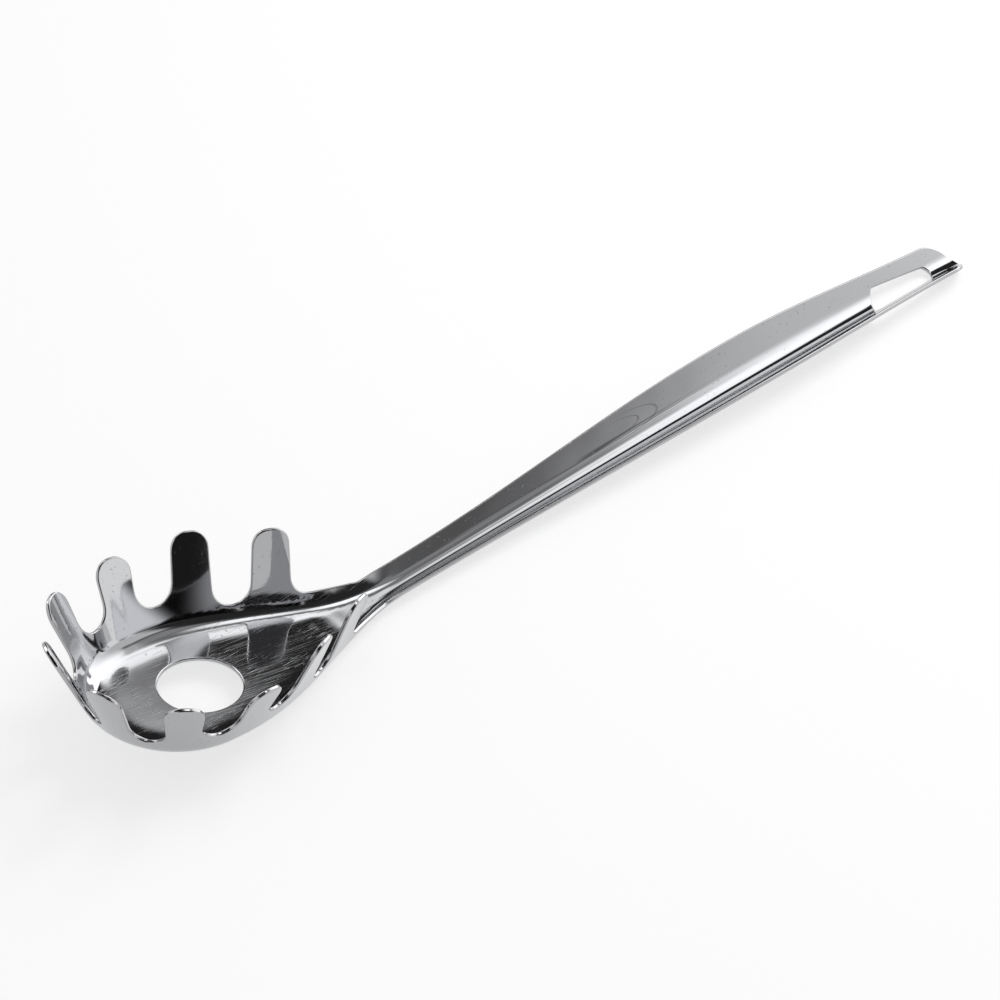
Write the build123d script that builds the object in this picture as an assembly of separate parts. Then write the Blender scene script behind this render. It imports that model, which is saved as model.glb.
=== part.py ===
from build123d import *
import os
from math import acos, atan2, cos, degrees, hypot, pi, radians, sin, tan

# A pasta server pressed from one blank of stainless sheet.
# It is shaped with its bowl floor level: X runs from the bowl to the end of the handle, Y across it, Z up.
# At the end it is laid down the way it lies on a table, on its bowl and on the end of its handle.

# The sheet
sheet = 1.2

# Bowl: a round nose about an upright axis, then a floor that narrows to the keel of the handle
nose_centre = -7.9
floor_half_width = 18.4
bowl_bend = 6.1
nose_wall_angle = 64.3
heel_wall_angle = 72.8
heel = 37.0
narrowing_start = -5.0
floor_end = 70.0
drain_diameter = 22.2

# Tines: five on each side, placed along the line of their tips from the nose to the neck
tip_height = 25.0
tip_shares = (0.95, 0.93, 0.90, 0.995, 0.925)
tip_run = 110.0
tine_shares = (0.105, 0.306, 0.520, 0.725, 0.923)
tine_width = 10.3
tip_corner = 4.4
tip_overlap = 0.15

# Valleys between the tines: lowest at the nose and at the neck, highest at the sides
nose_valley_height = 4.3
valley_height = 8.0
valley_shares = (0.70, 0.99, 0.93, 0.49)
nose_valley_radius = 4.3
side_valley_radius = 5.3

# Neck and handle: a trough with a rounded keel that rises away from the bowl
neck = 62.0
neck_half_width = 5.65
grip = 200.0
grip_half_width = 10.5
handle_end = 288.6
end_half_width = 7.2
end_round_length = 11.6
end_round_half_width = 8.05
handle_angle = 39.5
keel_flat = 0.3
keel_bend_share = 0.62
rise_start = 41.0
rise_end = 52.0
rise_share = 0.1315
droop_start = 80.0
droop = 3.7
lie_angle = 6.5

# Edge between the last tine and the handle
shoulder_radius = 5.0
shoulder_height = 4.1
neck_edge_end = 56.5
neck_edge_share = 0.20
trim_end = 64.0

# Hanging hole: four-sided with slanted ends and rounded corners
hole_start = 252.0
hole_end = 277.4
hole_start_half_width = 4.9
hole_end_half_width = 3.15
hole_slant_share = 0.72
hole_start_corner = 1.0
hole_end_corner = 1.9

# Extra wall before trimming, and the reach of the cutting shapes past the sheet
wall_spare = 3.0
overrun = 6.0


def ease(share):
    """Goes from 0 to 1 with a level start and end."""
    held = min(max(share, 0.0), 1.0)
    return (1.0 - cos(pi * held)) / 2.0


def between(first, last, x, start, end):
    return first + (last - first) * ease((x - start) / (end - start))


def handle_half_width(x):
    if x < grip:
        return between(neck_half_width, grip_half_width, x, neck, grip)
    return between(grip_half_width, end_half_width, x, grip, handle_end)


def keel_height(x):
    """Height of the inner face on the centre line: level, rising, then easing off along the handle."""
    run = rise_end - rise_start
    if x <= rise_start:
        return 0.0
    if x <= rise_end:
        return rise_share * (x - rise_start) ** 2 / (2.0 * run)
    past = max(x - droop_start, 0.0) / (handle_end - droop_start)
    return rise_share * (run / 2.0 + x - rise_end) - droop * past ** 4


def floor_half(x):
    return between(floor_half_width, keel_flat, x, narrowing_start, floor_end)


def wall_angle(x):
    if x < heel:
        return between(nose_wall_angle, heel_wall_angle, x, nose_centre, heel)
    return between(heel_wall_angle, handle_angle, x, heel, floor_end)


def bend_radius(x):
    if x < neck:
        return between(bowl_bend, keel_bend_share * neck_half_width, x, nose_centre, neck)
    return keel_bend_share * handle_half_width(x)


def wall_climb(x):
    """Height of the straight wall above its bend, before the tines and the neck are cut out."""
    angle = radians(wall_angle(x))
    bend = bend_radius(x)
    at_handle = (handle_half_width(x) - floor_half(x) - bend * sin(angle)) * tan(angle)
    at_bowl = tip_height + wall_spare - bend * (1.0 - cos(angle))
    return at_handle + (at_bowl - at_handle) * ease((trim_end - x) / (trim_end - heel))


def inner_half(x, height):
    """Distance of the wall's inner face from the centre line at a height above the keel."""
    angle = radians(wall_angle(x))
    bend = bend_radius(x)
    rise = height - bend * (1.0 - cos(angle))
    if rise < 0:
        return floor_half(x) + (bend ** 2 - (bend - height) ** 2) ** 0.5
    return floor_half(x) + bend * sin(angle) + rise / tan(angle)


def half_profile(x):
    """Corner points of one side of the trough, across and up, on both faces of the sheet."""
    angle = radians(wall_angle(x))
    bend = bend_radius(x)
    centre = Vector(floor_half(x), bend)
    climb = wall_climb(x)
    wall = Vector(climb / tan(angle), climb)
    points = {}
    for face, radius in (("inner", bend), ("outer", bend + sheet)):
        points[face, "floor"] = centre - Vector(0, radius)
        points[face, "middle"] = centre + Vector(sin(angle / 2.0), -cos(angle / 2.0)) * radius
        points[face, "wall"] = centre + Vector(sin(angle), -cos(angle)) * radius
        points[face, "rim"] = points[face, "wall"] + wall
    return points


def trough_section(x):
    """Outline of the sheet where it is cut square to the handle."""
    keel = keel_height(x)
    spot = {}
    for (face, name), point in half_profile(x).items():
        for side in (1, -1):
            spot[face, name, side] = Vector(x, side * point.X, keel + point.Y)
    edges = [
        Line(spot["inner", "rim", -1], spot["outer", "rim", -1]),
        Line(spot["outer", "rim", 1], spot["inner", "rim", 1]),
    ]
    for face in ("inner", "outer"):
        edges.append(Line(spot[face, "floor", 1], spot[face, "floor", -1]))
        for side in (1, -1):
            wall = spot[face, "wall", side]
            edges.append(Line(spot[face, "rim", side], wall))
            edges.append(ThreePointArc(wall, spot[face, "middle", side], spot[face, "floor", side]))
    return Face(Wire(edges))


def trough():
    """Rear of the bowl, neck and handle, flowing into one another."""
    pace = (handle_end + overrun - nose_centre) / 30
    return loft([trough_section(nose_centre + pace * step) for step in range(31)])


def nose():
    """Front of the bowl: the same profile carried round half a turn."""
    profile = half_profile(nose_centre)
    spot = {key: Vector(nose_centre, point.X, point.Y) for key, point in profile.items()}
    top = Vector(nose_centre, 0, 0)
    low = Vector(nose_centre, 0, -sheet)
    edges = [
        Line(low, top),
        Line(top, spot["inner", "floor"]),
        ThreePointArc(spot["inner", "floor"], spot["inner", "middle"], spot["inner", "wall"]),
        Line(spot["inner", "wall"], spot["inner", "rim"]),
        Line(spot["inner", "rim"], spot["outer", "rim"]),
        Line(spot["outer", "rim"], spot["outer", "wall"]),
        ThreePointArc(spot["outer", "wall"], spot["outer", "middle"], spot["outer", "floor"]),
        Line(spot["outer", "floor"], low),
    ]
    return revolve(Face(Wire(edges)), Axis((nose_centre, 0, 0), (0, 0, 1)), 180)


def tip_line():
    """Line of the tine tips on one side as seen from above, from the nose to the neck."""
    radius = inner_half(nose_centre, tip_height)
    stations = [nose_centre + (neck - nose_centre) * step / 8 for step in range(9)]
    ends = [(x, inner_half(x, tip_height - keel_height(x))) for x in stations]
    front = CenterArc((nose_centre, 0, 0), radius, 180, -90)
    return Wire([front, Spline(ends)])


def wall_plane(distance, side):
    """Upright plane along the wall, at a distance along the line of the tips."""
    line = tip_line()
    point = line.position_at(distance, position_mode=PositionMode.LENGTH)
    along = line.tangent_at(distance, position_mode=PositionMode.LENGTH)
    across = (side * along.Y, -along.X, 0)
    return Plane((point.X, side * point.Y, 0), x_dir=(along.X, side * along.Y, 0), z_dir=across)


def cut_block(plane, outline):
    """A cutting block that runs through the wall from inside the bowl to outside it."""
    reach = bowl_bend + overrun
    return extrude(plane * outline, amount=reach, both=True)


def valley(plane, height, radius, mouth):
    """Round-bottomed gap whose sides run up past the tips."""
    top = tip_height + wall_spare + overrun
    rise = tip_height - height - radius
    lean = degrees(acos(radius / hypot(mouth, rise)) - atan2(rise, mouth))
    cup = CenterArc((0, height + radius), radius, 180 + lean, 180 - 2 * lean)
    outline = make_face([
        cup,
        Line(cup @ 1, (mouth, tip_height)),
        Line((mouth, tip_height), (mouth, top)),
        Line((mouth, top), (-mouth, top)),
        Line((-mouth, top), (-mouth, tip_height)),
        Line((-mouth, tip_height), cup @ 0),
    ])
    return cut_block(plane, outline)


def tip_trim(plane, height):
    """Rounds the top of one tine."""
    half = tine_width / 2.0
    flat = half - tip_corner
    wide = half + overrun / 4.0
    low = height - tip_corner
    top = tip_height + wall_spare + overrun
    outline = make_face([
        Line((-wide, low), (-half, low)),
        CenterArc((-flat, low), tip_corner, 180, -90),
        Line((-flat, height), (flat, height)),
        CenterArc((flat, low), tip_corner, 90, -90),
        Line((half, low), (wide, low)),
        Line((wide, low), (wide, top)),
        Line((wide, top), (-wide, top)),
        Line((-wide, top), (-wide, low)),
    ])
    return cut_block(plane, outline)


def side_cuts(side):
    """Everything cut from the wall on one side of the bowl, from the nose to the neck."""
    places = [share * tip_run for share in tine_shares]
    cuts = []
    for place, share in zip(places, tip_shares):
        cuts.append(tip_trim(wall_plane(place, side), share * tip_height))
    for first, second, share in zip(places, places[1:], valley_shares):
        middle = (first + second) / 2.0
        radius = between(nose_valley_radius, side_valley_radius, middle, 0, places[2])
        plane = wall_plane(middle, side)
        cuts.append(valley(plane, share * valley_height, radius, (second - first - tine_width) / 2.0 + tip_overlap))
    cuts.append(valley(shoulder_plane(side), shoulder_height, shoulder_radius, shoulder_radius + tip_overlap))
    return cuts


def shoulder_plane(side):
    """Plane of the rounded corner between the last tine and the neck."""
    tine = wall_plane(tine_shares[-1] * tip_run, side)
    origin = tine.origin + tine.x_dir * (tine_width / 2.0 + shoulder_radius)
    return Plane(origin, x_dir=tine.x_dir, z_dir=tine.z_dir)


def nose_valley():
    """Gap on the centre line at the nose."""
    mouth = tine_shares[0] * tip_run - tine_width / 2.0 + tip_overlap
    return valley(wall_plane(0, 1), nose_valley_height, nose_valley_radius, mouth)


def neck_cut():
    """Brings the wall down to the edge of the neck between the last tines and the handle."""
    plane = shoulder_plane(1)
    lean = inner_half(plane.origin.X, tip_height) - inner_half(plane.origin.X, shoulder_height)
    first = plane.origin.X + plane.z_dir.X * lean
    last = trim_end + overrun / 2.0
    top = tip_height + wall_spare + overrun
    outline = Polygon(
        (first, shoulder_height),
        (neck_edge_end, shoulder_height),
        (last, shoulder_height + neck_edge_share * (last - neck_edge_end)),
        (last, top),
        (first, top),
        align=None,
    )
    return extrude(Plane.XZ * outline, amount=floor_half_width + overrun, both=True)


def hanging_hole():
    """Outline of the hole for hanging, seen from above."""
    corners = {}
    for end, x, half in (("start", hole_start, hole_start_half_width), ("end", hole_end, hole_end_half_width)):
        corners[end, "near"] = (x - hole_slant_share * half, -half)
        corners[end, "far"] = (x + hole_slant_share * half, half)
    outline = Polygon(
        corners["start", "near"],
        corners["end", "near"],
        corners["end", "far"],
        corners["start", "far"],
        align=None,
    )
    outline = fillet(outline.vertices().sort_by(Axis.X)[:2], hole_start_corner)
    return fillet(outline.vertices().sort_by(Axis.X)[-2:], hole_end_corner)


def end_trim():
    """Everything past the rounded end of the handle, seen from above."""
    first = handle_end - end_round_length
    wide = end_round_half_width + overrun
    frame = Pos(first + overrun + end_round_length / 2.0, 0) * Rectangle(end_round_length + 2.0 * overrun, 2.0 * wide)
    return frame - Pos(first, 0) * Ellipse(end_round_length, end_round_half_width)


def through(outline):
    """A cutting block upright through the handle or the bowl floor."""
    return extrude(Pos(0, 0, -tip_height) * outline, amount=3.0 * tip_height)


def build():
    body = trough() + nose()
    body -= through(Circle(drain_diameter / 2.0))
    body -= through(hanging_hole())
    body -= through(end_trim())
    body -= neck_cut()
    body -= nose_valley()
    body -= side_cuts(1) + side_cuts(-1)
    laid = Rot(0, lie_angle, 0) * body
    box = laid.bounding_box()
    return Pos(-box.center().X, -box.center().Y, -box.min.Z) * laid


if __name__ == "__main__":
    os.makedirs("parts", exist_ok=True)
    server = build()
    server.label = "server_pressing"
    export_step(server, "parts/server_pressing.step")
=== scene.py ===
import math

import bpy
import numpy as np
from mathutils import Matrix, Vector
from mathutils.geometry import delaunay_2d_cdt

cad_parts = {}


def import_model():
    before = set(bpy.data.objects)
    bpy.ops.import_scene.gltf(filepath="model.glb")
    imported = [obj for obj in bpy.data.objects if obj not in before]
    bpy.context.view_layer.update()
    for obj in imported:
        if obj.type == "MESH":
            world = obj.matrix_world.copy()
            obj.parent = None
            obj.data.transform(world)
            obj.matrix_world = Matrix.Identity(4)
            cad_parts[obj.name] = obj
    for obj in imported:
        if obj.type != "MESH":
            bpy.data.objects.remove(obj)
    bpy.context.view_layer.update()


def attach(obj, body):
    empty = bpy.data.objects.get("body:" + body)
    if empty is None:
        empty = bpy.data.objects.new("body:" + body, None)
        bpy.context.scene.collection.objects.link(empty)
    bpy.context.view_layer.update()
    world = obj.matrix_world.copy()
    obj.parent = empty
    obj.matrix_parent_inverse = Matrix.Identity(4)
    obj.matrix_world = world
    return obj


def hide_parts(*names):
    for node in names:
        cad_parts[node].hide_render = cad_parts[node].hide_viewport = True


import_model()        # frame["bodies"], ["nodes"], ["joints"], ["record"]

# A pasta server pressed from one blank of stainless sheet.
# Sizes are in millimetres in the frame where the bowl floor is level, until the mesh is laid
# down in metres. They are the sizes of part.py, written here again.

# The sheet and its softened cut edges
SHEET = 1.2
EDGE_RADIUS = 0.42
EDGE_STEPS = 4

# Bowl
NOSE_CENTRE = -7.9
FLOOR_HALF = 18.4
BOWL_BEND = 6.1
NOSE_WALL_ANGLE = 64.3
HEEL_WALL_ANGLE = 72.8
HEEL = 37.0
NARROWING_START = -5.0
FLOOR_END = 70.0
DRAIN_RADIUS = 11.1

# The floor turns up gently before its tight bend
FOOT_SHARE = 0.7
FOOT_LENGTH = 8.0
FOOT_TURN = 0.16

# Tines and the valleys between them
TIP_HEIGHT = 25.0
TIP_SHARES = (0.95, 0.93, 0.90, 0.995, 0.925)
TIP_RUN = 110.0
TINE_SHARES = (0.105, 0.306, 0.520, 0.725, 0.923)
TINE_WIDTH = 10.3
TIP_CORNER = 4.4
NOSE_VALLEY_HEIGHT = 4.3
VALLEY_HEIGHT = 8.0
VALLEY_SHARES = (0.70, 0.99, 0.93, 0.49)
NOSE_VALLEY_RADIUS = 4.3
SIDE_VALLEY_RADIUS = 5.3

# Neck and handle
NECK = 62.0
NECK_HALF = 5.65
GRIP = 200.0
GRIP_HALF = 10.5
HANDLE_END = 288.6
END_HALF = 7.2
END_ROUND_LENGTH = 11.6
END_ROUND_HALF = 8.05
HANDLE_ANGLE = 39.5
KEEL_FLAT = 0.3
KEEL_BEND_SHARE = 0.62
RISE_START = 41.0
RISE_END = 52.0
RISE_SHARE = 0.1315
DROOP_START = 80.0
DROOP = 3.7
SHOULDER_RADIUS = 5.0
SHOULDER_HEIGHT = 4.1
NECK_EDGE_END = 56.5
NECK_EDGE_SHARE = 0.20

# Hanging hole: near and far corners along the handle, and their rounding
HOLE_START = 252.0
HOLE_END = 277.4
HOLE_START_HALF = 4.9
HOLE_END_HALF = 3.15
HOLE_SLANT = 0.72
HOLE_START_CORNER = 1.0
HOLE_END_CORNER = 1.9

MILLIMETRE = 0.001

# How the server lies: turned nose down about Y, then moved into the frame of the part
LIE_ANGLE = math.radians(6.5)
LAID_AT = (-125.647, 0.0, 6.382)

# The underside lies beside the upper side on the map of the blank, in metres
UNDERSIDE_SHIFT = 0.2

# Places of the two finishes in the list of the sheet's materials
FACE_SLOT = 0
EDGE_SLOT = 1

# Spacing of the mesh along its rims, round its holes and over its faces
RIM_STEP = 0.6
HOLE_STEP = 0.3
GRID_STEP = 1.2
ROW_SHARE = 0.866
CLEAR_SHARE = 0.7
JOIN_GAP = 1e-7
BLOCK = 500

# Spacing of the outlines that the rims are resampled from
NOSE_STATIONS = 200
TIP_STATIONS = 400
END_STATIONS = 90
DRAIN_STATIONS = 241
CORNER_POINTS = 14
HANDLE_STEP = 0.5
ARC_STEP = 0.2
ARC_LEAST = 6
EASINGS = 3

# How far to either side a slope and the direction of the tip line are measured
FINE = 0.02
TIP_PROBE = 0.3
NOSE_NEAR = 0.5

# Search for the blank point of a place on the formed sheet
SETTLE_ROUNDS = 15
SETTLE_REACH = 3.0
WALL_STEEPNESS = 2.7

# Small shapes of the outline
TINE_LEAN = math.radians(3.0)
NECK_BLEND = 0.6
FULL_WALL = 99.0
END_ROUND_OVERLAP = 2.0
END_ROUND_TURN = math.radians(71.0)
END_ROUND_MARGIN = 0.1
END_ROUND_SPREAD = 1.2


def ease(share):
    held = np.clip(share, 0.0, 1.0)
    return (1.0 - np.cos(np.pi * held)) / 2.0


def between(first, last, x, start, end):
    return first + (last - first) * ease((x - start) / (end - start))


def handle_half(x):
    rising = between(NECK_HALF, GRIP_HALF, x, NECK, GRIP)
    falling = between(GRIP_HALF, END_HALF, x, GRIP, HANDLE_END)
    return np.where(x < GRIP, rising, falling)


def keel_height(x):
    run = RISE_END - RISE_START
    curve = RISE_SHARE * (x - RISE_START) ** 2 / (2.0 * run)
    past = np.maximum(x - DROOP_START, 0.0) / (HANDLE_END - DROOP_START)
    line = RISE_SHARE * (run / 2.0 + x - RISE_END) - DROOP * past ** 4
    return np.where(x <= RISE_START, 0.0, np.where(x <= RISE_END, curve, line))


def floor_half(x):
    return between(FLOOR_HALF, KEEL_FLAT, x, NARROWING_START, FLOOR_END)


def wall_angle(x):
    rising = between(NOSE_WALL_ANGLE, HEEL_WALL_ANGLE, x, NOSE_CENTRE, HEEL)
    falling = between(HEEL_WALL_ANGLE, HANDLE_ANGLE, x, HEEL, FLOOR_END)
    return np.radians(np.where(x < HEEL, rising, falling))


def bend_radius(x):
    bowl = between(BOWL_BEND, KEEL_BEND_SHARE * NECK_HALF, x, NOSE_CENTRE, NECK)
    return np.where(x < NECK, bowl, KEEL_BEND_SHARE * handle_half(x))


def floor_foot(x):
    """Length, turn and lift of the floor's gentle border, and where the tight bend starts."""
    half, bend, angle = floor_half(x), bend_radius(x), wall_angle(x)
    length = np.minimum(FOOT_SHARE * half, FOOT_LENGTH)
    turn = FOOT_TURN * ease(half / FOOT_LENGTH)
    lift = turn * length / 4.0
    start = half + bend * np.sin(turn) + (lift - bend * (1.0 - np.cos(turn))) / np.tan(angle)
    return length, turn, lift, start


def formed(plan):
    """Upper face of the sheet for points of the flat blank."""
    x = np.maximum(plan[:, 0], NOSE_CENTRE)
    ahead = plan[:, 0] - x
    reach = np.hypot(ahead, plan[:, 1])
    aim = np.column_stack([ahead, plan[:, 1]]) / np.maximum(reach, 1e-9)[:, None]
    bend, angle = bend_radius(x), wall_angle(x)
    length, foot, lift, start = floor_foot(x)
    gentle = np.clip((reach - start + length) / length, 0.0, 1.0)
    turned = foot + np.clip((reach - start) / bend, 0.0, angle - foot)
    climb = np.maximum(reach - start - bend * (angle - foot), 0.0)
    out = np.minimum(reach, start) + bend * (np.sin(turned) - np.sin(foot)) + climb * np.cos(angle)
    up = lift * gentle ** 4 + bend * (np.cos(foot) - np.cos(turned)) + climb * np.sin(angle)
    return np.column_stack([x + aim[:, 0] * out, aim[:, 1] * out, keel_height(x) + up])


def reach_at(x, over):
    """Distance across the blank where the upper face stands a height over the keel."""
    bend, angle = bend_radius(x), wall_angle(x)
    _, foot, lift, start = floor_foot(x)
    rise = over - lift - bend * (np.cos(foot) - np.cos(angle))
    turned = np.arccos(np.clip(np.cos(foot) - (over - lift) / bend, -1.0, 1.0)) - foot
    straight = bend * (angle - foot) + rise / np.sin(angle)
    return start + np.where(rise < 0, bend * np.maximum(turned, 0.0), straight)


def unit(vectors):
    return vectors / np.linalg.norm(vectors, axis=1)[:, None]


def slopes(shape, plan):
    """Change of a shape for one millimetre along the blank and one across it."""
    along = (shape(plan + [FINE, 0.0]) - shape(plan - [FINE, 0.0])) / (2.0 * FINE)
    across = (shape(plan + [0.0, FINE]) - shape(plan - [0.0, FINE])) / (2.0 * FINE)
    return along, across


def facing(plan):
    return unit(np.cross(*slopes(formed, plan)))


def middle_layer(plan):
    return formed(plan) - facing(plan) * SHEET / 2.0


def flatten(spot, height):
    """A first guess of the blank point for a place given from above and by its height."""
    x = np.maximum(spot[:, 0], NOSE_CENTRE)
    ahead = spot[:, 0] - x
    aim = unit(np.column_stack([ahead, spot[:, 1]]))
    reach = reach_at(x, np.maximum(height - keel_height(x), 0.0))
    return np.column_stack([x + aim[:, 0] * reach, aim[:, 1] * reach])


def settle(guess, first, second, aims):
    """Moves blank points until the middle layer has the wanted values along two directions."""
    rows = np.array([first, second])
    plan = guess.copy()
    for _ in range(SETTLE_ROUNDS):
        miss = aims - middle_layer(plan) @ rows.T
        along, across = slopes(middle_layer, plan)
        grid = np.stack([along @ rows.T, across @ rows.T], axis=2)
        step = np.linalg.solve(grid, miss[:, :, None])[:, :, 0]
        plan += np.clip(step, -SETTLE_REACH, SETTLE_REACH)
    return plan


def tip_line():
    """Dense line of the tine tips from above on the +Y side, with its running length."""
    x = np.linspace(NOSE_CENTRE, NECK, TIP_STATIONS)
    half, bend, angle = floor_half(x), bend_radius(x), wall_angle(x)
    rise = TIP_HEIGHT - keel_height(x) - bend * (1.0 - np.cos(angle))
    out = half + bend * np.sin(angle) + rise / np.tan(angle)
    turn = np.linspace(math.pi, math.pi / 2.0, NOSE_STATIONS)[:-1]
    front = np.column_stack([NOSE_CENTRE + out[0] * np.cos(turn), out[0] * np.sin(turn)])
    line = np.vstack([front, np.column_stack([x, out])])
    run = np.concatenate([[0.0], np.cumsum(np.hypot(*np.diff(line, axis=0).T))])
    return line, run


TIPS, TIPS_RUN = tip_line()


def wall_place(distance):
    """Point of the tip line and its direction at a distance from the nose."""
    def at(place):
        return np.array([np.interp(place, TIPS_RUN, axis) for axis in TIPS.T])

    if distance < NOSE_NEAR:
        return at(0.0), np.array([0.0, 1.0])
    along = at(distance + TIP_PROBE) - at(distance - TIP_PROBE)
    return at(distance), along / np.hypot(*along)


def on_wall(place, outline):
    """Blank points of an outline drawn square to the wall at one place."""
    origin, along = place
    out = np.array([-along[1], along[0]])
    drawn = np.array(outline)
    inset = (TIP_HEIGHT - drawn[:, 1:]) / WALL_STEEPNESS
    spot = origin + drawn[:, :1] * along - inset * out
    aims = np.column_stack([origin @ along + drawn[:, 0], drawn[:, 1]])
    guess = flatten(spot, drawn[:, 1])
    return settle(guess, (along[0], along[1], 0.0), (0.0, 0.0, 1.0), aims)


def arc(centre, radius, start, end):
    count = max(int(abs(end - start) * radius / ARC_STEP), ARC_LEAST)
    turn = np.linspace(start, end, count)
    return np.column_stack([centre[0] + radius * np.cos(turn), centre[1] + radius * np.sin(turn)])


def cup_lean(height, radius, mouth):
    """How far the sides of a valley lean outwards above its round bottom."""
    rise = TIP_HEIGHT - height - radius
    return math.acos(radius / math.hypot(mouth, rise)) - math.atan2(rise, mouth)


def tine_tops():
    """Blank outline of the top of each tine on the +Y side."""
    tops = []
    flat = TINE_WIDTH / 2.0 - TIP_CORNER
    for share, top in zip(TINE_SHARES, TIP_SHARES):
        low = top * TIP_HEIGHT - TIP_CORNER
        first = arc((-flat, low), TIP_CORNER, math.pi - TINE_LEAN, math.pi / 2.0)
        last = arc((flat, low), TIP_CORNER, math.pi / 2.0, TINE_LEAN)
        tops.append(on_wall(wall_place(share * TIP_RUN), np.vstack([first, last])))
    return tops


def valleys():
    """Blank outlines of the round bottoms before the tines on the +Y side, and of the shoulder."""
    places = [share * TIP_RUN for share in TINE_SHARES]
    cups = []
    mouth = places[0] - TINE_WIDTH / 2.0
    lean = cup_lean(NOSE_VALLEY_HEIGHT, NOSE_VALLEY_RADIUS, mouth)
    centre = (0.0, NOSE_VALLEY_HEIGHT + NOSE_VALLEY_RADIUS)
    cups.append(on_wall(wall_place(0.0), arc(centre, NOSE_VALLEY_RADIUS, -math.pi / 2.0, -lean)))
    for first, second, share in zip(places, places[1:], VALLEY_SHARES):
        middle = (first + second) / 2.0
        radius = float(between(NOSE_VALLEY_RADIUS, SIDE_VALLEY_RADIUS, middle, 0.0, places[2]))
        height = share * VALLEY_HEIGHT
        lean = cup_lean(height, radius, (second - first - TINE_WIDTH) / 2.0)
        cup = arc((0.0, height + radius), radius, -math.pi + lean, -lean)
        cups.append(on_wall(wall_place(middle), cup))
    origin, along = wall_place(places[-1])
    lean = cup_lean(SHOULDER_HEIGHT, SHOULDER_RADIUS, SHOULDER_RADIUS)
    centre = (0.0, SHOULDER_HEIGHT + SHOULDER_RADIUS)
    shoulder = arc(centre, SHOULDER_RADIUS, -math.pi + lean, -math.pi / 2.0)
    behind = origin + along * (TINE_WIDTH / 2.0 + SHOULDER_RADIUS)
    cups.append(on_wall((behind, along), shoulder))
    return cups


def handle_rim(start):
    """Blank outline of the neck edge, the long rim and the round end on the +Y side."""
    first = HANDLE_END - END_ROUND_LENGTH
    x = np.arange(start, first + END_ROUND_OVERLAP, HANDLE_STEP)
    half, bend, angle = floor_half(x), bend_radius(x), wall_angle(x)
    climb = (handle_half(x) - half - bend * np.sin(angle)) * np.tan(angle)
    rim = reach_at(x, bend * (1.0 - np.cos(angle)) + climb)
    neck = x < FLOOR_END
    line = SHOULDER_HEIGHT + NECK_EDGE_SHARE * np.maximum(x[neck] - NECK_EDGE_END, 0.0)
    guess = flatten(np.column_stack([x[neck], np.ones(neck.sum())]), line)
    aims = np.column_stack([x[neck], line])
    cut = settle(guess, (1.0, 0.0, 0.0), (0.0, 0.0, 1.0), aims)[:, 1]
    full = np.where(x[neck] < NECK_EDGE_END, FULL_WALL, rim[neck])
    eased = np.maximum(NECK_BLEND - np.abs(full - cut), 0.0) ** 2 / (4.0 * NECK_BLEND)
    rim[neck] = np.minimum(full, cut) - eased
    turn = np.linspace(END_ROUND_TURN, 0.0, END_STATIONS)
    reach = END_ROUND_LENGTH - END_ROUND_MARGIN
    outline = np.column_stack([first + reach * np.cos(turn), END_ROUND_HALF * np.sin(turn)])
    guess = outline * [1.0, END_ROUND_SPREAD]
    end = settle(guess, (1.0, 0.0, 0.0), (0.0, 1.0, 0.0), outline)
    end[-1, 1] = 0.0
    return np.vstack([np.column_stack([x, rim]), end])


def rounded(corners, radii):
    """Closed outline with its corners rounded."""
    points = []
    count = len(corners)
    for index in range(count):
        corner = np.array(corners[index])
        before = unit(np.array([corners[index - 1]]) - corner)[0]
        after = unit(np.array([corners[(index + 1) % count]]) - corner)[0]
        half = math.acos(float(np.clip(before @ after, -1.0, 1.0))) / 2.0
        both = before + after
        middle = corner + both / np.linalg.norm(both) * radii[index] / math.sin(half)
        for share in np.linspace(0.0, 1.0, CORNER_POINTS):
            start = corner + before * radii[index] / math.tan(half) - middle
            end = corner + after * radii[index] / math.tan(half) - middle
            mixed = start * (1.0 - share) + end * share
            points.append(middle + mixed / np.linalg.norm(mixed) * radii[index])
    return np.array(points)


def resampled(loop, step):
    """Closed loop with even steps measured on the formed sheet, its kinks eased."""
    closed = np.vstack([loop, loop[:1]])
    steps = np.linalg.norm(np.diff(formed(closed), axis=0), axis=1)
    run = np.concatenate([[0.0], np.cumsum(steps)])
    at = np.linspace(0.0, run[-1], int(run[-1] / step) + 1)[:-1]
    even = np.column_stack([np.interp(at, run, closed[:, 0]), np.interp(at, run, closed[:, 1])])
    for _ in range(EASINGS):
        even = (np.roll(even, 1, axis=0) + 2.0 * even + np.roll(even, -1, axis=0)) / 4.0
    return even


def turned_area(loop):
    """Area of a closed loop, below zero where it runs clockwise."""
    after = np.roll(loop, -1, axis=0)
    return float(np.sum(loop[:, 0] * after[:, 1] - loop[:, 1] * after[:, 0]) / 2.0)


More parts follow.
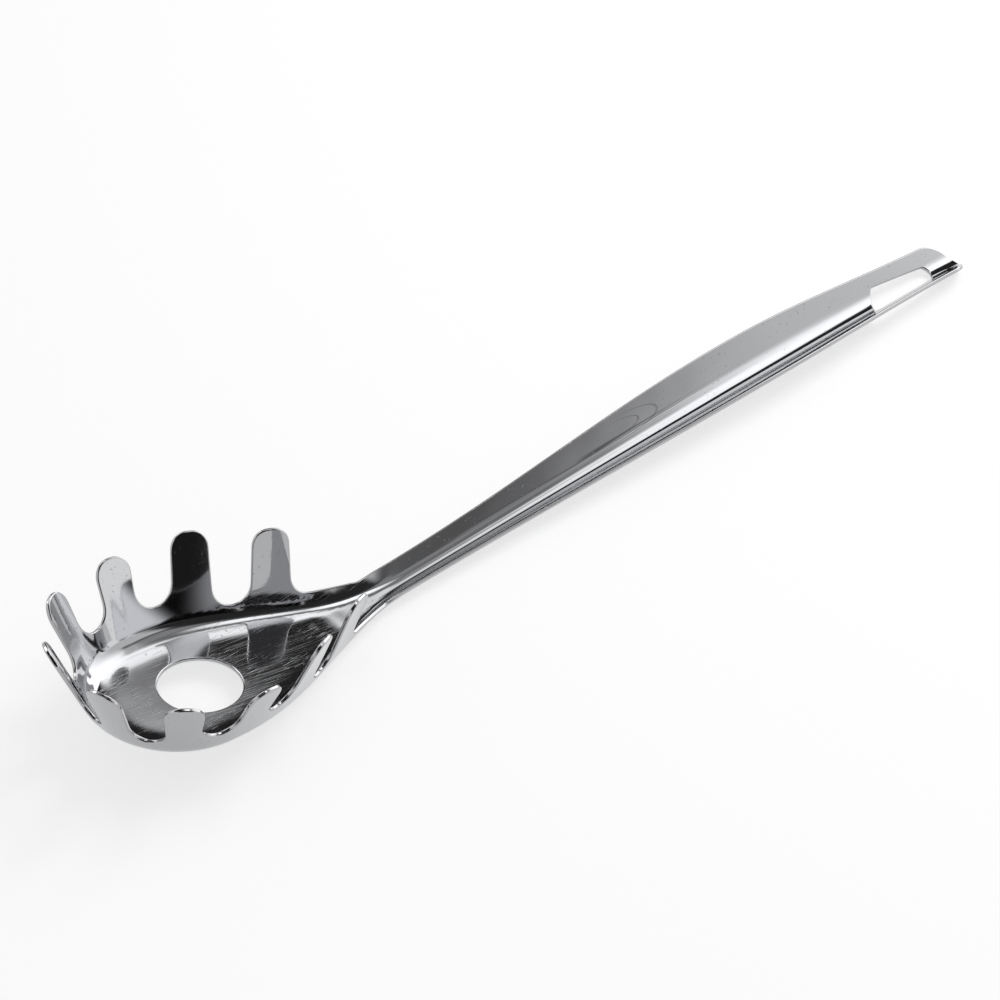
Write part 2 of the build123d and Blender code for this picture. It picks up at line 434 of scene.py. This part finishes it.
def blank_loops():
    """Outer outline of the blank and its two holes, each with the metal on its left."""
    tops, cups = tine_tops(), valleys()
    parts = []
    for cup, top in zip(cups, tops):
        parts += [cup, top]
    parts.append(cups[-1])
    parts.append(handle_rim(float(cups[-1][-1, 0]) + HANDLE_STEP))
    side = np.vstack(parts)
    side[0, 1] = 0.0
    other = (side * [1.0, -1.0])[1:-1]
    outer = resampled(np.vstack([side, other[::-1]]), RIM_STEP)
    if turned_area(outer) < 0:
        outer = outer[::-1]
    turn = np.linspace(0.0, 2.0 * math.pi, DRAIN_STATIONS)[:-1]
    circle = DRAIN_RADIUS * np.column_stack([np.cos(turn), np.sin(turn)])
    drain = resampled(circle, HOLE_STEP)
    corners, radii = [], []
    near = (HOLE_START, HOLE_START_HALF, HOLE_START_CORNER)
    far = (HOLE_END, HOLE_END_HALF, HOLE_END_CORNER)
    for x, half, radius in (near, far):
        ends = [(x - HOLE_SLANT * half, -half), (x + HOLE_SLANT * half, half)]
        corners += ends if x == HOLE_START else ends[::-1]
        radii += [radius, radius]
    seen = rounded(corners, radii)
    hanging = resampled(settle(seen, (1.0, 0.0, 0.0), (0.0, 1.0, 0.0), seen), HOLE_STEP)
    holes = [hole[::-1] if turned_area(hole) > 0 else hole for hole in (drain, hanging)]
    return [outer] + holes


def inside(points, loop):
    """True for points within a closed loop of the blank."""
    x0, y0 = loop.T
    x1, y1 = np.roll(loop, -1, axis=0).T
    found = np.zeros(len(points), bool)
    for start in range(0, len(points), BLOCK):
        block = slice(start, start + BLOCK)
        px, py = points[block, :1], points[block, 1:]
        spans = (y0 > py) != (y1 > py)
        cross = x0 + (py - y0) * (x1 - x0) / np.where(y1 == y0, 1e-12, y1 - y0)
        found[block] = np.sum(spans & (px < cross), axis=1) % 2 == 1
    return found


def edge_rings(loop):
    """Blank points, places and normals of the rings that round a cut edge, upper face first."""
    face = facing(loop)
    here = formed(loop)
    ahead = unit(np.roll(here, -1, axis=0) - np.roll(here, 1, axis=0))
    inward = unit(np.cross(face, ahead))
    along, across = slopes(formed, loop)
    grid = np.stack([along, across], axis=2)
    square = np.einsum("nij,nik->njk", grid, grid)
    step = np.linalg.solve(square, np.einsum("nij,ni->nj", grid, inward)[:, :, None])[:, :, 0]
    rings = []
    for lower in (False, True):
        turns = np.linspace(math.pi / 2.0, 0.0, EDGE_STEPS + 1)
        for turn in (turns[::-1] if lower else turns):
            plan = loop + step * EDGE_RADIUS * (1.0 - math.cos(turn))
            depth = EDGE_RADIUS * (1.0 - math.sin(turn))
            depth = SHEET - depth if lower else depth
            own = facing(plan)
            tilt = -math.sin(turn) if lower else math.sin(turn)
            normal = -math.cos(turn) * inward + tilt * own
            rings.append((plan, formed(plan) - own * depth, unit(normal)))
    return rings


def grid_points(loops):
    """Staggered points within the blank, kept clear of its rims."""
    outer = loops[0]
    low, high = outer.min(axis=0), outer.max(axis=0)
    rows = np.arange(low[1], high[1], GRID_STEP * ROW_SHARE)
    points = []
    for index, y in enumerate(rows):
        x = np.arange(low[0] + (index % 2) * GRID_STEP / 2.0, high[0], GRID_STEP)
        points.append(np.column_stack([x, np.full(len(x), y)]))
    points = np.vstack(points)
    points = points[inside(points, outer)]
    for hole in loops[1:]:
        points = points[~inside(points, hole)]
    rims = np.vstack(loops)
    clear = np.ones(len(points), bool)
    for start in range(0, len(points), BLOCK):
        block = slice(start, start + BLOCK)
        x, y = points[block, :1], points[block, 1:]
        gaps = np.min(np.hypot(x - rims[:, 0], y - rims[:, 1]), axis=1)
        clear[block] = gaps > GRID_STEP * CLEAR_SHARE
    return points[clear]


def laid(points):
    """Points in the frame of the part, in metres, and the turn that brought them there."""
    c, s = math.cos(LIE_ANGLE), math.sin(LIE_ANGLE)
    turn = np.array([[c, 0.0, s], [0.0, 1.0, 0.0], [-s, 0.0, c]])
    return (points @ turn.T + np.array(LAID_AT)) * MILLIMETRE, turn


def skin_triangles(rims, inner):
    """Triangles between the rims, whose corners count through the rim points and then the inner."""
    flat = np.vstack(rims + [inner])
    edges, start = [], 0
    for rim in rims:
        count = len(rim)
        edges += [(start + index, start + (index + 1) % count) for index in range(count)]
        start += count
    found = delaunay_2d_cdt([Vector(point) for point in flat], edges, [], 0, JOIN_GAP)
    origin = [given[0] if given else -1 for given in found[3]]
    if -1 in origin:
        raise ValueError("the outlines of the blank cross each other")
    triangles = np.array([[origin[corner] for corner in face] for face in found[2]])
    centres = flat[triangles].mean(axis=1)
    keep = inside(centres, rims[0])
    for rim in rims[1:]:
        keep &= ~inside(centres, rim)
    return triangles[keep]


def sheet_mesh(name):
    """The whole pressing as one closed mesh with exact normals."""
    plans, places, normals, faces = [], [], [], []
    upper, lower, rims = [], [], []
    base = 0
    for loop in blank_loops():
        rings = edge_rings(loop)
        count = len(loop)
        for plan, place, normal in rings:
            plans.append(plan)
            places.append(place)
            normals.append(normal)
        for ring in range(len(rings) - 1):
            first, second = base + ring * count, base + (ring + 1) * count
            for index in range(count):
                after = (index + 1) % count
                faces.append((first + index, second + index, second + after, first + after))
        upper.append(base + np.arange(count))
        base += len(rings) * count
        lower.append(base - count + np.arange(count))
        rims.append(rings[0][0])
    edge_faces = len(faces)
    inner = grid_points(rims)
    triangles = skin_triangles(rims, inner)
    upper = np.concatenate(upper + [base + np.arange(len(inner))])
    lower = np.concatenate(lower + [base + len(inner) + np.arange(len(inner))])
    own = facing(inner)
    spots = formed(inner)
    plans += [inner, inner]
    places += [spots, spots - own * SHEET]
    normals += [own, -own]
    faces += [tuple(row) for row in upper[triangles].tolist()]
    faces += [tuple(row[::-1]) for row in lower[triangles].tolist()]
    plans, places, normals = np.vstack(plans), np.vstack(places), np.vstack(normals)
    points, turn = laid(places)
    mesh = bpy.data.meshes.new(name)
    mesh.from_pydata(points.tolist(), [], faces)
    mesh.update()
    mesh.polygons.foreach_set("use_smooth", [True] * len(faces))
    slots = [EDGE_SLOT] * edge_faces + [FACE_SLOT] * (len(faces) - edge_faces)
    mesh.polygons.foreach_set("material_index", slots)
    blank = mesh.uv_layers.new(name="blank")
    corners = np.empty(len(mesh.loops), np.int32)
    mesh.loops.foreach_get("vertex_index", corners)
    spread = plans[corners] * MILLIMETRE
    spread[-3 * len(triangles):, 1] += UNDERSIDE_SHIFT
    blank.data.foreach_set("uv", spread.ravel())
    mesh.normals_split_custom_set_from_vertices((normals @ turn.T).tolist())
    mesh.validate()
    return mesh


# Reflectance of the polished faces and the cut edge, and the faces' colour where water dried
STEEL = (0.42, 0.423, 0.435)
CUT_STEEL = (0.42, 0.42, 0.43)
DRIED = (0.16, 0.155, 0.15)

# Marks in the sheet: length and width in metres, turn in degrees, detail of the noise, and the
# two levels of it between which they come up
RUBBED = (0.012, 0.00032, -7.0, 2.0, 0.42, 0.78)
CROSSING = (0.006, 0.00030, 5.0, 0.0, 0.72, 0.80)
PATCHES = (0.011, 0.008, 0.0, 1.0, 0.42, 0.62)
SPOTS = (0.0011, 0.0011, 0.0, 1.0, 0.70, 0.76)
RIPPLE = (0.012, 0.009, 0.0, 0.0, 0.1, 0.9)
GRAIN = (0.0004, 0.0004, 0.0, 2.0, 0.35, 0.75)
COARSER = (0.02, 0.02, 0.0, 1.0, 0.52, 0.68)

# The part of the bowl that use has rubbed, as an oval on the blank, and what is left outside it
USED_CENTRE = (0.016, 0.0)
USED_LENGTH = 0.052
USED_WIDTH = 0.024
USED_BORDER = (0.75, 1.15)
UNUSED_SHARE = 0.10

# Two drying marks on the handle: centre, half length and half width
OUTER_DRYING_MARK = ((0.155, 0.0063), 0.0125, 0.0031)
INNER_DRYING_MARK = ((0.150, 0.0064), 0.0104, 0.0022)
DRYING_LINE = 0.035
DRYING_FADE = (-0.5, 0.6)

# What each mark adds to the roughness, how far it darkens, and how deep it is in metres
CLEAN_ROUGHNESS = 0.05
RUB_ROUGHNESS = 0.08
SCRATCH_ROUGHNESS = 0.15
DROP_ROUGHNESS = 0.12
DROP_SHADE = 0.35
LINE_SHADE = 0.45
SCRATCH_DEPTH = 1.6
GROOVE_DEPTH = 0.0000014
RIPPLE_DEPTH = 0.000012
CUT_ROUGHNESS = 0.10
GRAIN_ROUGHNESS = 0.22
GRAIN_DEPTH = 0.000006


def node(tree, kind, place, **values):
    made = tree.nodes.new(kind)
    made.location = place
    for name, value in values.items():
        setattr(made, name, value)
    return made


def on_blank(tree, place, length, width, turn=0.0, start=(0.0, 0.0)):
    """Coordinates of the flat blank, in steps of a length and a width in metres."""
    source = node(tree, "ShaderNodeUVMap", (place[0] - 400, place[1]), uv_map="blank")
    shaped = node(tree, "ShaderNodeMapping", (place[0] - 200, place[1]), vector_type="TEXTURE")
    shaped.inputs["Location"].default_value = (start[0], start[1], 0.0)
    shaped.inputs["Rotation"].default_value = (0.0, 0.0, math.radians(turn))
    shaped.inputs["Scale"].default_value = (length, width, 1.0)
    tree.links.new(source.outputs[0], shaped.inputs["Vector"])
    return shaped.outputs[0]


def ramp(tree, place, value, low, high, start=0.0, end=1.0):
    """Value eased from one level to another."""
    made = node(tree, "ShaderNodeMapRange", place, interpolation_type="SMOOTHSTEP")
    for name, level in (("From Min", low), ("From Max", high), ("To Min", start), ("To Max", end)):
        made.inputs[name].default_value = level
    tree.links.new(value, made.inputs["Value"])
    return made.outputs[0]


def marks(tree, place, kind):
    """Noise over the blank, of which only the part between two levels shows."""
    length, width, turn, detail, low, high = kind
    made = node(tree, "ShaderNodeTexNoise", place, noise_dimensions="2D")
    made.inputs["Scale"].default_value = 1.0
    made.inputs["Detail"].default_value = detail
    tree.links.new(on_blank(tree, place, length, width, turn), made.inputs["Vector"])
    return ramp(tree, (place[0] + 200, place[1]), made.outputs[0], low, high)


def sums(tree, place, value, factor, rest):
    """Value times a factor plus the rest, each a number or a socket."""
    made = node(tree, "ShaderNodeMath", place, operation="MULTIPLY_ADD")
    for index, given in enumerate((value, factor, rest)):
        if isinstance(given, (int, float)):
            made.inputs[index].default_value = given
        else:
            tree.links.new(given, made.inputs[index])
    return made.outputs[0]


def drying_mark(tree, place, oval_size):
    """Thin open line that a drying drop left: an oval that fades towards the bowl."""
    centre, half_length, half_width = oval_size
    oval = on_blank(tree, place, half_length, half_width, start=centre)
    size = node(tree, "ShaderNodeVectorMath", place, operation="LENGTH")
    tree.links.new(oval, size.inputs[0])
    off = node(tree, "ShaderNodeMath", (place[0] + 150, place[1]), operation="COMPARE")
    tree.links.new(size.outputs["Value"], off.inputs[0])
    off.inputs[1].default_value = 1.0
    off.inputs[2].default_value = DRYING_LINE
    parts = node(tree, "ShaderNodeSeparateXYZ", (place[0], place[1] - 150))
    tree.links.new(oval, parts.inputs[0])
    fade = ramp(tree, (place[0] + 150, place[1] - 150), parts.outputs["X"], *DRYING_FADE)
    return sums(tree, (place[0] + 300, place[1]), off.outputs[0], fade, 0.0)


def plain_steel(name, colour):
    material = bpy.data.materials.new(name)
    material.use_nodes = True
    shader = material.node_tree.nodes["Principled BSDF"]
    shader.inputs["Base Color"].default_value = (*colour, 1.0)
    shader.inputs["Metallic"].default_value = 1.0
    return material, material.node_tree, shader


def bump(tree, place, height, distance, before=None):
    made = node(tree, "ShaderNodeBump", place)
    made.inputs["Strength"].default_value = 1.0
    made.inputs["Distance"].default_value = distance
    tree.links.new(height, made.inputs["Height"])
    if before is not None:
        tree.links.new(before, made.inputs["Normal"])
    return made.outputs[0]


def polished_steel():
    """Bright faces, rubbed by use in the bowl, with water spots and drying marks on the handle."""
    material, tree, shader = plain_steel("steel_face", STEEL)
    rubbed = marks(tree, (-1400, 600), RUBBED)
    crossing = marks(tree, (-1400, 300), CROSSING)
    patches = marks(tree, (-1400, 0), PATCHES)
    spots = marks(tree, (-1400, -300), SPOTS)
    ripple = marks(tree, (-1400, -600), RIPPLE)
    oval = on_blank(tree, (-1400, 900), USED_LENGTH, USED_WIDTH, start=USED_CENTRE)
    reach = node(tree, "ShaderNodeVectorMath", (-1400, 900), operation="LENGTH")
    tree.links.new(oval, reach.inputs[0])
    used = ramp(tree, (-1200, 900), reach.outputs["Value"], *USED_BORDER, 1.0, UNUSED_SHARE)
    outer = drying_mark(tree, (-1400, -900), OUTER_DRYING_MARK)
    inner = drying_mark(tree, (-1400, -1300), INNER_DRYING_MARK)
    lines = sums(tree, (-900, -1100), outer, 1.0, inner)
    rub = sums(tree, (-900, 600), rubbed, used, 0.0)
    scratch = sums(tree, (-900, 300), crossing, patches, 0.0)
    scratch = sums(tree, (-700, 300), scratch, used, 0.0)
    drops = sums(tree, (-900, -300), spots, patches, 0.0)
    rough = sums(tree, (-500, 600), rub, RUB_ROUGHNESS, CLEAN_ROUGHNESS)
    rough = sums(tree, (-300, 600), scratch, SCRATCH_ROUGHNESS, rough)
    rough = sums(tree, (-100, 600), drops, DROP_ROUGHNESS, rough)
    tree.links.new(rough, shader.inputs["Roughness"])
    dull = sums(tree, (-500, 0), drops, DROP_SHADE, 0.0)
    dull = sums(tree, (-300, 0), lines, LINE_SHADE, dull)
    tint = node(tree, "ShaderNodeMix", (-100, 0), data_type="RGBA")
    tint.inputs["A"].default_value = (*STEEL, 1.0)
    tint.inputs["B"].default_value = (*DRIED, 1.0)
    tree.links.new(dull, tint.inputs["Factor"])
    tree.links.new(tint.outputs["Result"], shader.inputs["Base Color"])
    grooves = sums(tree, (-500, -600), scratch, SCRATCH_DEPTH, rub)
    waves = bump(tree, (-300, -600), ripple, RIPPLE_DEPTH)
    relief = bump(tree, (-100, -600), grooves, GROOVE_DEPTH, waves)
    tree.links.new(relief, shader.inputs["Normal"])
    return material


def cut_steel():
    """Tumbled cut edge: bright, with a fine grain that is coarser here and there."""
    material, tree, shader = plain_steel("steel_cut_edge", CUT_STEEL)
    grain = marks(tree, (-1000, 300), GRAIN)
    patches = marks(tree, (-1000, 0), COARSER)
    coarse = sums(tree, (-500, 300), grain, patches, 0.0)
    rough = sums(tree, (-300, 300), coarse, GRAIN_ROUGHNESS, CUT_ROUGHNESS)
    tree.links.new(rough, shader.inputs["Roughness"])
    tree.links.new(bump(tree, (-300, 0), coarse, GRAIN_DEPTH), shader.inputs["Normal"])
    return material


face_steel = polished_steel()
edge_steel = cut_steel()

server = bpy.data.objects.new("server_sheet", sheet_mesh("server_sheet"))
bpy.context.scene.collection.objects.link(server)
server.data.materials.append(face_steel)
server.data.materials.append(edge_steel)
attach(server, "root")
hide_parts("server_pressing")


# Light round the object. Each area lies over those before it, with its bounds and the width of
# its soft border in degrees: from azimuth, to azimuth, from elevation, to elevation, border, level
SOFT_WALL_LEVEL = 0.95
PANELS = (
    (-20.0, 50.0, -20.0, 60.0, 50.0, 2.6),
    (-180.0, 180.0, 56.0, 100.0, 9.0, 0.3),
    (-180.0, -38.0, 42.6, 100.0, 6.0, 0.13),
    (-60.0, -31.0, 47.0, 62.0, 5.0, 0.42),
    (-60.0, -18.0, 53.5, 62.0, 5.0, 0.45),
    (38.0, 110.0, 48.0, 100.0, 10.0, 0.3),
    (-50.0, 40.0, 67.0, 84.0, 8.0, 2.4),
    (95.0, 155.0, 16.0, 40.0, 7.0, 1.2),
    (119.0, 190.0, 44.0, 100.0, 8.0, 0.01),
    (-150.0, -83.0, -20.0, 72.0, 8.0, 0.02),
    (-92.0, -66.0, 20.0, 62.0, 10.0, 0.04),
    (-87.0, -30.0, -20.0, 16.0, 8.0, 1.45),
    (30.0, 72.0, -20.0, 36.6, 3.0, 0.03),
    (49.7, 75.0, 35.0, 41.0, 1.8, 0.75),
    (69.0, 115.0, 33.0, 54.0, 9.0, 2.9),
)
TENT_RADIUS = 5.0
TENT_STEP = 1.0
FLOOR_REACH = 6.0
FLOOR_COLOUR = (0.8, 0.8, 0.8, 1.0)
FLOOR_GLOW = 0.55
ROOM_LEVEL = 0.5
WHITE_LEVEL = 1.0


def panel_share(azimuth, elevation, panel):
    """How far a direction lies within one panel, from 0 to 1 across its soft border."""
    west, east, low, high, soft, _ = panel
    depths = [elevation - low, high - elevation]
    if east - west < 360.0:
        depths = [azimuth - west, east - azimuth] + depths
    share = np.ones_like(azimuth)
    for depth in depths:
        share = share * ease(depth / soft + 0.5)
    return share


def tent_mesh(name):
    """Round light tent over the floor, with its level of light stored at each corner."""
    around = np.arange(-180.0, 180.0, TENT_STEP)
    up = np.arange(0.0, 90.0 + TENT_STEP, TENT_STEP)
    azimuth, elevation = [grid.ravel() for grid in np.meshgrid(around, up)]
    turn, lift = np.radians(azimuth), np.radians(elevation)
    aims = [np.cos(turn) * np.cos(lift), np.sin(turn) * np.cos(lift), np.sin(lift)]
    spots = TENT_RADIUS * np.column_stack(aims)
    wide, tall = len(around), len(up)
    faces = []
    for row in range(tall - 1):
        for column in range(wide):
            after = (column + 1) % wide
            low, high = row * wide, (row + 1) * wide
            faces.append((low + column, high + column, high + after, low + after))
    mesh = bpy.data.meshes.new(name)
    mesh.from_pydata(spots.tolist(), [], faces)
    level = np.full(len(azimuth), SOFT_WALL_LEVEL)
    for panel in PANELS:
        share = panel_share(azimuth, elevation, panel)
        level = level * (1.0 - share) + panel[5] * share
    stored = mesh.attributes.new("level", "FLOAT", "POINT")
    stored.data.foreach_set("value", level)
    return mesh


def tent_material():
    """Light whose level is stored at each corner of the tent."""
    material = bpy.data.materials.new("tent_cloth")
    material.use_nodes = True
    tree = material.node_tree
    tree.nodes.clear()
    out = node(tree, "ShaderNodeOutputMaterial", (400, 0))
    light = node(tree, "ShaderNodeEmission", (200, 0))
    stored = node(tree, "ShaderNodeAttribute", (0, 0), attribute_name="level")
    tree.links.new(stored.outputs["Fac"], light.inputs["Strength"])
    tree.links.new(light.outputs[0], out.inputs["Surface"])
    return material


def floor_material():
    """Pale floor that stays white around the object and keeps its shadow."""
    material = bpy.data.materials.new("pale_floor")
    material.use_nodes = True
    tree = material.node_tree
    tree.nodes.clear()
    out = node(tree, "ShaderNodeOutputMaterial", (600, 0))
    both = node(tree, "ShaderNodeAddShader", (400, 0))
    matt = node(tree, "ShaderNodeBsdfDiffuse", (200, 100))
    matt.inputs["Color"].default_value = FLOOR_COLOUR
    light = node(tree, "ShaderNodeEmission", (200, -100))
    light.inputs["Strength"].default_value = FLOOR_GLOW
    tree.links.new(matt.outputs[0], both.inputs[0])
    tree.links.new(light.outputs[0], both.inputs[1])
    tree.links.new(both.outputs[0], out.inputs["Surface"])
    return material


def square_floor(name, reach, material):
    mesh = bpy.data.meshes.new(name)
    corners = [(-reach, -reach, 0), (reach, -reach, 0), (reach, reach, 0), (-reach, reach, 0)]
    mesh.from_pydata(corners, [], [(0, 1, 2, 3)])
    mesh.materials.append(material)
    made = bpy.data.objects.new(name, mesh)
    bpy.context.scene.collection.objects.link(made)


square_floor("floor", FLOOR_REACH, floor_material())

tent = bpy.data.objects.new("light_tent", tent_mesh("light_tent"))
tent.data.materials.append(tent_material())
bpy.context.scene.collection.objects.link(tent)
tent.visible_camera = False
tent.visible_diffuse = False
tent.visible_shadow = False


def world():
    """White where the camera or the metal sees past the floor and tent, soft light otherwise."""
    made = bpy.data.worlds.new("studio")
    made.use_nodes = True
    tree = made.node_tree
    tree.nodes.clear()
    out = node(tree, "ShaderNodeOutputWorld", (700, 0))
    mix = node(tree, "ShaderNodeMixShader", (500, 0))
    path = node(tree, "ShaderNodeLightPath", (0, 300))
    first = node(tree, "ShaderNodeMath", (200, 300), operation="ADD", use_clamp=True)
    second = node(tree, "ShaderNodeMath", (350, 300), operation="ADD", use_clamp=True)
    soft = node(tree, "ShaderNodeBackground", (200, 0))
    soft.inputs["Strength"].default_value = ROOM_LEVEL
    white = node(tree, "ShaderNodeBackground", (200, -150))
    white.inputs["Color"].default_value = (1.0, 1.0, 1.0, 1.0)
    white.inputs["Strength"].default_value = WHITE_LEVEL
    tree.links.new(path.outputs["Is Camera Ray"], first.inputs[0])
    tree.links.new(path.outputs["Is Glossy Ray"], first.inputs[1])
    tree.links.new(first.outputs[0], second.inputs[0])
    tree.links.new(path.outputs["Is Transmission Ray"], second.inputs[1])
    tree.links.new(second.outputs[0], mix.inputs[0])
    tree.links.new(soft.outputs[0], mix.inputs[1])
    tree.links.new(white.outputs[0], mix.inputs[2])
    tree.links.new(mix.outputs[0], out.inputs["Surface"])
    bpy.context.scene.world = made


world()


def soft_lamp(name, place, aim, size, power):
    """Square lamp that lights the floor and the metal but isn't mirrored in it."""
    data = bpy.data.lights.new(name, "AREA")
    data.shape = "SQUARE"
    data.size = size
    data.energy = power
    made = bpy.data.objects.new(name, data)
    made.location = place
    made.rotation_mode = "QUATERNION"
    made.rotation_quaternion = (Vector(aim) - Vector(place)).to_track_quat("-Z", "Y")
    made.visible_glossy = False
    bpy.context.scene.collection.objects.link(made)


soft_lamp("key", place=(0.7, -0.05, 0.75), aim=(0, 0, 0), size=0.6, power=2.4)

# The photograph's viewing angle: lens in millimetres, turn in degrees, place in metres
LENS = 113.299
SENSOR = 36.0
CAMERA_TURN = (50.35423, 0.44626, -41.72045)
CAMERA_PLACE = (-0.460384, -0.498104, 0.560210)

camera_data = bpy.data.cameras.new("camera")
camera_data.lens = LENS
camera_data.sensor_width = SENSOR
camera_data.clip_start = 0.05
camera_data.clip_end = 50.0
camera_data.dof.use_dof = False
camera = bpy.data.objects.new("camera", camera_data)
camera.rotation_mode = "XYZ"
camera.rotation_euler = [math.radians(turn) for turn in CAMERA_TURN]
camera.location = CAMERA_PLACE
bpy.context.scene.collection.objects.link(camera)
bpy.context.scene.camera = camera

bpy.context.scene.view_settings.view_transform = "Standard"
